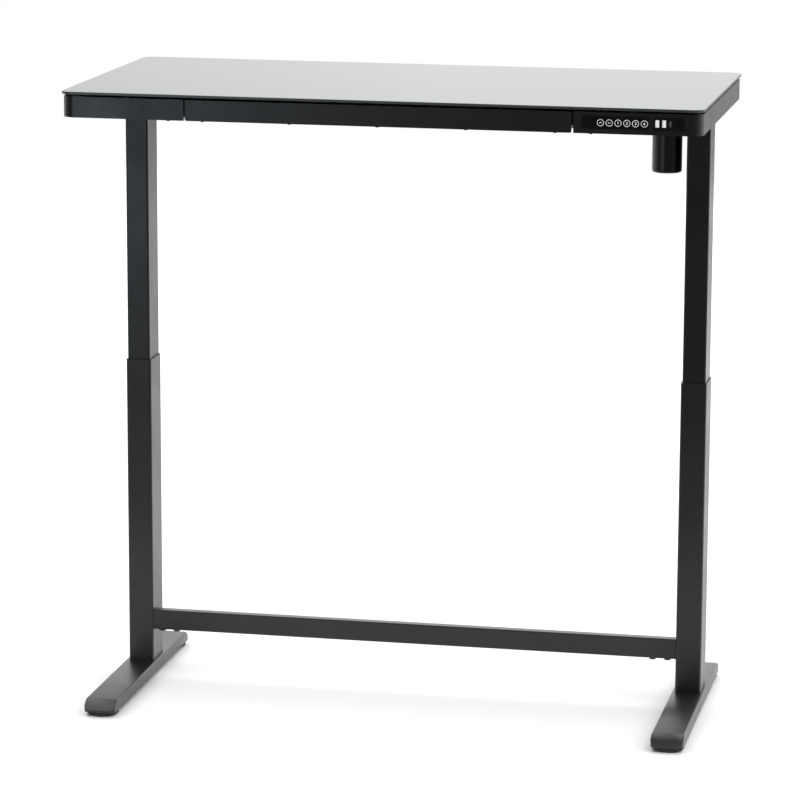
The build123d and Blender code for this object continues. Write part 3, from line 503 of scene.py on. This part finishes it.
# Each visible length of the seam: half its width, and its lower and upper ends.
SEAM_LENGTHS = ((0.0006, 0.806, 0.952), (0.0005, 1.004, 1.062))
seam_x = (column_low.x + column_high.x) / 2 - SEAM_OFF_CENTRE
seam_face = (column_low.y - SEAM_PROUD, column_low.y + SEAM_DEPTH)
new_piece("weld_seam", closed_box("weld_seam", *[
    ((seam_x - half, seam_x + half), seam_face, (lower, upper)) for half, lower, upper in SEAM_LENGTHS
]), "top", "powder_coat", seam_paint)


def moulded(name, colour, light, gloss, grain=0.0006, depth=0.00002):
    """Injection-moulded plastic: colour range, roughness range, and its spark-eroded texture."""
    made, tree, shader = material(name, IOR=1.48)
    texture = add_group(tree, peel, Cell=grain, Patch=0.03)
    marks = add_group(tree, handling, Size=0.03)
    base = mix_colour(tree, texture["Patch"], (*colour, 1), (*light, 1))
    dusted = mix_colour(tree, scale_range(tree, marks["Dust"], 0, 0.12), base, (0.3, 0.3, 0.29, 1))
    tree.links.new(dusted, shader.inputs["Base Color"])
    tree.links.new(scale_range(tree, marks["Smear"], *gloss), shader.inputs["Roughness"])
    bump(tree, shader, texture["Height"], depth)
    return made


glide_plastic = moulded("glide_plastic", (0.010, 0.010, 0.011), (0.014, 0.014, 0.015), (0.38, 0.5))
paint(glide_plastic, "upper_glides", "lower_glides")


# Feet: long bars pressed from 3 mm steel, open underneath, with a sloping nose at each end. They have the
# same powder coat, and each is bolted to its column's base plate from below.

PRESSED_ROUND = 0.0008
for side in ("left", "right"):
    rounded_copy(f"{side}_foot", f"{side}_foot_bar", "base", "powder_coat", powder_black, PRESSED_ROUND)


# Crossbeam: a rectangular steel tube with the same powder coat, pushed over two welded bars of bright
# mill-finish steel. The column base plates and the pipes under the nuts are of that steel too.

paint(powder_black, "crossbeam")
mill_steel = metal(
    "mill_steel", (0.25, 0.25, 0.26), (0.4, 0.4, 0.41), (0.32, 0.5), (60.0, 500.0, 500.0))
paint(mill_steel, "beam_brackets", "column_base_plates", "nut_posts")


# Fasteners: hardened steel bolts and screws, cold headed and finished in black oxide. They hold the feet,
# the crossbeam, the gear housings, the underside covers and the drawer's front.

black_oxide = metal("black_oxide", (0.035, 0.035, 0.038), (0.075, 0.075, 0.08), (0.34, 0.48))
paint(black_oxide, "base_bolts", "housing_bolts", "cover_screws", "drawer_screws")


# Levelling pads: a disc of rubber moulded round a threaded stud, with grip ribs round the rim to turn it
# by. The stud screws into the foot.

pad_corners = [f"{end}_{side}" for end in ("front", "rear") for side in ("left", "right")]
paint(rubber, *[f"{corner}_leveller" for corner in pad_corners])

array = bpy.data.node_groups.new("array", "GeometryNodeTree")
ARRAY_INPUTS = {
    "Part": "Geometry", "Count": "Int", "Step": "Vector", "Turn": "Vector", "Finish": "Material",
}
for label, kind in ARRAY_INPUTS.items():
    array.interface.new_socket(label, in_out="INPUT", socket_type=f"NodeSocket{kind}")
array.interface.new_socket("Parts", in_out="OUTPUT", socket_type="NodeSocketGeometry")
given = array.nodes.new("NodeGroupInput").outputs
line = place(array, "GeometryNodeMeshLine", {"Count": given["Count"], "Offset": given["Step"]})
number = place(array, "GeometryNodeInputIndex").outputs[0]
turned = place(array, "ShaderNodeVectorMath", {0: given["Turn"], "Scale": number}, operation="SCALE")
copies = place(array, "GeometryNodeInstanceOnPoints", {
    "Points": line.outputs[0], "Instance": given["Part"],
    "Rotation": place(array, "FunctionNodeEulerToRotation", {0: turned.outputs[0]}).outputs[0],
})
real = place(array, "GeometryNodeRealizeInstances", {0: copies.outputs[0]})
coated = place(array, "GeometryNodeSetMaterial", {
    "Geometry": real.outputs[0], "Material": given["Finish"],
})
place(array, "NodeGroupOutput", {0: coated.outputs[0]})


def repeated(part, finish, count, centre, step=(0, 0, 0), turn=(0, 0, 0)):
    """A mesh of copies of a part, each stepped and turned on from the last, moved to a centre."""
    holder = bpy.data.objects.new(part.name, part)
    scene.collection.objects.link(holder)
    modifier = holder.modifiers.new("array", "NODES")
    modifier.node_group = array
    for label, value in (("Count", count), ("Step", step), ("Turn", turn), ("Finish", finish)):
        modifier[array.interface.items_tree[label].identifier] = value
    graph = bpy.context.evaluated_depsgraph_get()
    mesh = bpy.data.meshes.new_from_object(holder.evaluated_get(graph))
    bpy.data.objects.remove(holder)
    mesh.transform(Matrix.Translation(centre))
    return mesh


RIB_COUNT = 48
RIB_RADII = (0.0291, 0.0303)
RIB_WIDTH = (-0.0007, 0.0007)
RIB_HEIGHTS = (0.0027, 0.0053)
for corner in pad_corners:
    low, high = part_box(f"{corner}_leveller")
    middle = ((low.x + high.x) / 2, (low.y + high.y) / 2, 0)
    rib = closed_box("rib", (RIB_RADII, RIB_WIDTH, RIB_HEIGHTS))
    ribs = repeated(rib, rubber, RIB_COUNT, turn=(0, 0, 2 * math.pi / RIB_COUNT), centre=middle)
    ribs.name = f"{corner}_pad_ribs"
    new_piece(ribs.name, ribs, f"{corner}_foot_pad", "foot_rubber")


# Lifting screws: ground steel with a rolled trapezoidal thread of 8 mm lead, hung in a thrust bearing.
# The nuts are turned brass, and the bushes of the cross shaft are sintered bronze.

ground_steel = metal(
    "ground_steel", (0.42, 0.42, 0.43), (0.6, 0.6, 0.61), (0.14, 0.26), (900.0, 900.0, 80.0))
gear_steel = metal(
    "gear_steel", (0.3, 0.3, 0.31), (0.45, 0.45, 0.46), (0.2, 0.34), (700.0, 700.0, 700.0))
brass = metal(
    "turned_brass", (0.62, 0.45, 0.2), (0.8, 0.62, 0.33), (0.2, 0.34), (120.0, 120.0, 2500.0))
bronze = metal(
    "sintered_bronze", (0.4, 0.24, 0.11), (0.58, 0.38, 0.2), (0.4, 0.55), (1600.0, 1600.0, 1600.0))
paint(ground_steel, "drive_shaft", "screw_bearings")
paint(gear_steel, "left_screw_gear", "right_screw_gear", "shaft_pinions", "motor_output")
paint(brass, "drive_nuts")
paint(bronze, "shaft_bushes")

THREAD_LEAD = 0.008
THREAD_STEPS = 28
ROOT_RADIUS = 0.0056
COLLAR_RADIUS = 0.0069
JOURNAL_RADIUS = 0.005
SHOULDER_HEIGHT = 1.1479
THREAD_END_GAP = 0.004
THREAD_PROFILE = [(ROOT_RADIUS, -0.0031), (0.007, -0.0017), (0.007, 0.0017), (ROOT_RADIUS, 0.0031)]


def thread_turn():
    """One turn of a raised thread, closed, whose ends meet the next turns."""
    shape = bmesh.new()
    rows = []
    for step in range(THREAD_STEPS + 1):
        share = step / THREAD_STEPS
        heading = Vector((math.cos(share * 2 * math.pi), math.sin(share * 2 * math.pi), 0))
        rise = THREAD_LEAD * share
        rows.append([
            shape.verts.new(heading * radius + Vector((0, 0, z + rise))) for radius, z in THREAD_PROFILE
        ])
    for first, second in zip(rows, rows[1:]):
        for index in range(len(THREAD_PROFILE)):
            after = (index + 1) % len(THREAD_PROFILE)
            shape.faces.new((first[after], first[index], second[index], second[after]))
    shape.faces.new(rows[0])
    shape.faces.new(list(reversed(rows[-1])))
    bmesh.ops.recalc_face_normals(shape, faces=shape.faces[:])
    mesh = bpy.data.meshes.new("thread_turn")
    shape.to_mesh(mesh)
    shape.free()
    return mesh


def turned_mesh(name, centre, outline, steps=40):
    """A closed solid of revolution about the vertical, from its outline in radius and height."""
    angles = [2 * math.pi * step / steps for step in range(steps)]
    return stacked(name, centre, [
        ([(radius * math.cos(angle), radius * math.sin(angle)) for angle in angles], z)
        for radius, z in outline
    ])


for side in ("left", "right"):
    low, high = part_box(f"{side}_lift_screw")
    middle = Vector(((low.x + high.x) / 2, (low.y + high.y) / 2, 0))
    core = turned_mesh(f"{side}_screw_core", middle, [
        (0.0048, low.z), (ROOT_RADIUS, low.z + 0.001),
        (ROOT_RADIUS, SHOULDER_HEIGHT - 0.006), (COLLAR_RADIUS, SHOULDER_HEIGHT - 0.005),
        (COLLAR_RADIUS, SHOULDER_HEIGHT), (JOURNAL_RADIUS, SHOULDER_HEIGHT),
        (JOURNAL_RADIUS, high.z - 0.0005), (0.0045, high.z),
    ])
    smooth(core)
    piece = new_piece(f"{side}_threaded_screw", core, f"{side}_screw", "ground_steel", ground_steel)
    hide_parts(f"{side}_lift_screw")
    turns_up = int((SHOULDER_HEIGHT - THREAD_LEAD - low.z - THREAD_END_GAP) / THREAD_LEAD)
    middle.z = low.z + 0.0045
    thread = repeated(thread_turn(), ground_steel, turns_up, step=(0, 0, THREAD_LEAD), centre=middle)
    smooth(thread)
    new_piece(f"{side}_screw_thread", thread, f"{side}_screw", "ground_steel")


# Gear housings: aluminium die castings with a fine cast skin, one on the head of each column. They hold
# the gears and the screws' bearings. Each has a flat lid, and four bolts clamp it between the rails.

cast_alloy = metal(
    "cast_alloy", (0.36, 0.37, 0.38), (0.5, 0.51, 0.52), (0.42, 0.58), (700.0, 700.0, 700.0), 0.00005)
CAST_ROUND = 0.0005
for part in ("left_column_head", "right_column_head"):
    rounded_copy(part, part.replace("head", "casting"), "top", "cast_housing", cast_alloy, CAST_ROUND, 2)
paint(cast_alloy, "gear_housing_lids")


# Motor: a round steel can in satin black enamel below its gearbox, closed by a pressed cap that three
# small screws hold.

enamel = painted(
    "motor_enamel", (0.0045, 0.0045, 0.005), (0.006, 0.006, 0.0066), (0.3, 0.38), 0.004, 0.00002, 0.1)
paint(enamel, "motor_can", "motor_end_cap", "motor_gear_housing")
cap_low, cap_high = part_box("motor_end_cap")
cap_middle = ((cap_low.x + cap_high.x) / 2, (cap_low.y + cap_high.y) / 2)
CAP_SCREW_CIRCLE = 0.021
CAP_SCREW_COUNT = 3
# Radius and height of a head that hangs below the cap, from the floor of its round recess outwards.
CAP_SCREW_OUTLINE = [
    (0.0014, 0.0002), (0.0014, -0.0006), (0.0021, -0.0006), (0.0026, -0.0002), (0.0026, 0.0004),
]
cap_screws = repeated(
    turned_mesh("cap_screw", (CAP_SCREW_CIRCLE, 0), CAP_SCREW_OUTLINE, 20), black_oxide, CAP_SCREW_COUNT,
    turn=(0, 0, 2 * math.pi / CAP_SCREW_COUNT), centre=(*cap_middle, cap_low.z))
smooth(cap_screws)
new_piece("motor_cap_screws", cap_screws, "top", "black_fastener")


# Controller: a moulded case with a green circuit board, and leads in black sheath. The mains inlet at
# the rear has the same texture, with two plated pins.

case_plastic = moulded(
    "case_plastic", (0.016, 0.016, 0.017), (0.023, 0.023, 0.024), (0.45, 0.58), 0.0009)
MOULDED_ROUND = 0.0003
MOULDED_PARTS = {"control_box": "control_case", "control_box_lid": "control_lid", "power_inlet": "inlet"}
for part, name in MOULDED_PARTS.items():
    rounded_copy(part, name, "top", "moulded_black", case_plastic, MOULDED_ROUND, 2)
sheath = moulded("lead_sheath", (0.012, 0.012, 0.012), (0.018, 0.018, 0.018), (0.4, 0.5), 0.002)
paint(sheath, "internal_leads")

solder_mask, tree, shader = material("solder_mask", IOR=1.5, Roughness=0.3, Coat_Weight=0.3)
tracks = place(tree, "ShaderNodeTexBrick", {
    "Vector": object_spots(tree), "Scale": 90.0, "Mortar Size": 0.035,
    "Color1": (0.008, 0.07, 0.028, 1), "Color2": (0.011, 0.095, 0.036, 1),
    "Mortar": (0.02, 0.16, 0.06, 1),
})
marks = add_group(tree, handling, Size=0.02)
dust_cover = scale_range(tree, marks["Dust"], 0, 0.2)
dusty = mix_colour(tree, dust_cover, tracks.outputs["Color"], (0.25, 0.25, 0.22, 1))
tree.links.new(dusty, shader.inputs["Base Color"])
bump(tree, shader, tracks.outputs["Fac"], 0.00003)
paint(solder_mask, "circuit_boards")

plated = metal(
    "plated_contact", (0.72, 0.72, 0.73), (0.9, 0.9, 0.91), (0.16, 0.28), (500.0, 500.0, 500.0))
PIN_ACROSS = (-0.00125, 0.00125)
PIN_ALONG = (-0.0103, -0.0018)
PIN_PITCH = 0.0086
PIN_INSET = 0.0015
inlet_low, inlet_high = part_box("power_inlet")
inlet_middle = (inlet_low + inlet_high) / 2
pins = repeated(
    closed_box("pin", (PIN_ACROSS, PIN_ALONG, PIN_ACROSS)), plated, 2, step=(PIN_PITCH, 0, 0),
    centre=(inlet_middle.x - PIN_PITCH / 2, inlet_high.y - PIN_INSET, inlet_middle.z))
new_piece("inlet_pins", pins, "top", "port_metal")


# Panel: gloss black moulded plates let into the apron. The touch keys are printed in white, a ring
# round each symbol, and the ports have nickel shells round white tongues. The white print and the
# white tongues are also given a glow, painted light that brightens them though they are no lamps.

panel_gloss = moulded(
    "panel_gloss", (0.0055, 0.0055, 0.006), (0.007, 0.007, 0.0075), (0.12, 0.24), 0.004, 0.000004)
paint(panel_gloss, "control_panel", "usb_plate")
port_shell = metal(
    "port_shell", (0.8, 0.8, 0.8), (0.93, 0.93, 0.93), (0.3, 0.4), (500.0, 900.0, 500.0))
paint(port_shell, "usb_sockets")

# The white print is given a painted glow as well as its white colour: it emits light in its own ink colour.
white_print_painted_glow, tree, shader = material("white_print_painted_glow", Roughness=0.5, Emission_Strength=0.75)
fleck = place(tree, "ShaderNodeTexNoise", {
    "Vector": object_spots(tree), "Scale": 2600.0, "Detail": 2.0,
})
ink_and_painted_glow = mix_colour(tree, fleck.outputs["Fac"], (0.82, 0.83, 0.84, 1), (0.92, 0.93, 0.94, 1))
tree.links.new(ink_and_painted_glow, shader.inputs["Base Color"])
tree.links.new(ink_and_painted_glow, shader.inputs["Emission Color"])
bump(tree, shader, fleck.outputs["Fac"], 0.000004)

panel_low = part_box("control_panel")[0]
PRINT_PROUD = 0.00003
PRINT_THICK = 0.00008
KEY_COUNT = 6
KEY_HEIGHT = 1.1822
FIRST_KEY = 0.4130
KEY_PITCH = 0.01592
RING_RADIUS = 0.00585
RING_STEPS = 40
LINE_WIDTH = 0.0007


def printed(name, strokes):
    """Flat mitred lines just proud of the panel, each (points, width), as thin closed solids."""
    shape = bmesh.new()
    front = panel_low.y - PRINT_PROUD
    for points, width in strokes:
        closed = points[0] == points[-1]
        path = [Vector(point) for point in points]
        last = len(path) - 1
        sides = []
        for index, here in enumerate(path):
            before = path[-2] if closed and index == 0 else path[max(index - 1, 0)]
            after = path[1] if closed and index == last else path[min(index + 1, last)]
            into, out = (here - before).normalized(), (after - here).normalized()
            into, out = into if into.length else out, out if out.length else into
            along = (into + out).normalized()
            across = Vector((-along.y, along.x)) * width / 2 / max(along.dot(into), 0.5)
            sides.append([
                [shape.verts.new((at.x, y, at.y)) for at in (here + across, here - across)]
                for y in (front, front + PRINT_THICK)
            ])
        for first, second in zip(sides, sides[1:]):
            ring_now = (first[0][0], first[0][1], first[1][1], first[1][0])
            ring_next = (second[0][0], second[0][1], second[1][1], second[1][0])
            for index in range(4):
                after = (index + 1) % 4
                shape.faces.new((ring_now[index], ring_now[after], ring_next[after], ring_next[index]))
        if not closed:
            for tip in (sides[0], sides[-1]):
                shape.faces.new((tip[0][0], tip[0][1], tip[1][1], tip[1][0]))
    bmesh.ops.remove_doubles(shape, verts=shape.verts, dist=1e-7)
    bmesh.ops.recalc_face_normals(shape, faces=shape.faces[:])
    mesh = bpy.data.meshes.new(name)
    shape.to_mesh(mesh)
    shape.free()
    return mesh


ring_angles = [2 * math.pi * step / RING_STEPS for step in range(RING_STEPS)] + [0.0]
ring_points = [(RING_RADIUS * math.cos(angle), RING_RADIUS * math.sin(angle)) for angle in ring_angles]
key_rings = repeated(
    printed("key_ring", [(ring_points, LINE_WIDTH)]), white_print_painted_glow, KEY_COUNT,
    step=(KEY_PITCH, 0, 0), centre=(FIRST_KEY, 0, KEY_HEIGHT))
new_piece("key_rings", key_rings, "top", "gloss_black")

# The symbol in each ring, as a line through points in millimetres from the ring's middle: up, down, and
# the numbers one to four.
SYMBOLS = (
    [(-2.1, -1.0), (0, 1.2), (2.1, -1.0)],
    [(-2.1, 1.0), (0, -1.2), (2.1, 1.0)],
    [(-0.9, 1.4), (0.2, 2.3), (0.2, -2.3)],
    [(-1.2, 1.3), (-0.8, 2.0), (0, 2.3), (0.9, 2.0), (1.2, 1.2), (0.8, 0.2), (-1.3, -2.1), (1.4, -2.1)],
    [
        (-1.2, 1.7), (-0.2, 2.3), (0.9, 1.9), (1.1, 1.0), (0.1, 0.1),
        (1.2, -0.9), (0.9, -1.9), (-0.2, -2.3), (-1.3, -1.6),
    ],
    [(0.7, -2.3), (0.7, 2.2), (-1.5, -0.9), (1.6, -0.9)],
)
symbol_strokes = []
for index, outline in enumerate(SYMBOLS):
    centre_x = FIRST_KEY + KEY_PITCH * index
    points = [(centre_x + x * 0.001, KEY_HEIGHT + z * 0.001) for x, z in outline]
    symbol_strokes.append((points, LINE_WIDTH))
new_piece("key_symbols", printed("key_symbols", symbol_strokes), "top", "gloss_black", white_print_painted_glow)

# The white tongues are given a painted glow: they emit light in their own colour, which brightens them
# where they sit in the port's shade.
tongue_white_painted_glow, tree, shader = material("tongue_white_painted_glow", Roughness=0.42, Emission_Strength=0.6)
mottle = place(tree, "ShaderNodeTexNoise", {
    "Vector": object_spots(tree), "Scale": 900.0, "Detail": 3.0,
})
ivory_and_painted_glow = mix_colour(tree, mottle.outputs["Fac"], (0.78, 0.78, 0.77, 1), (0.86, 0.86, 0.85, 1))
tree.links.new(ivory_and_painted_glow, shader.inputs["Base Color"])
tree.links.new(ivory_and_painted_glow, shader.inputs["Emission Color"])
bump(tree, shader, mottle.outputs["Fac"], 0.00001)
TONGUE_LEFT_SIDES = (0.5144, 0.5268)
TONGUE_THICK = 0.0047
TONGUE_HEIGHTS = (1.1769, 1.1891)
tongue_depths = (panel_low.y + 0.0009, panel_low.y + 0.0185)
new_piece("port_tongues", closed_box("port_tongues", *[
    ((x, x + TONGUE_THICK), tongue_depths, TONGUE_HEIGHTS) for x in TONGUE_LEFT_SIDES
]), "top", "port_metal", tongue_white_painted_glow)
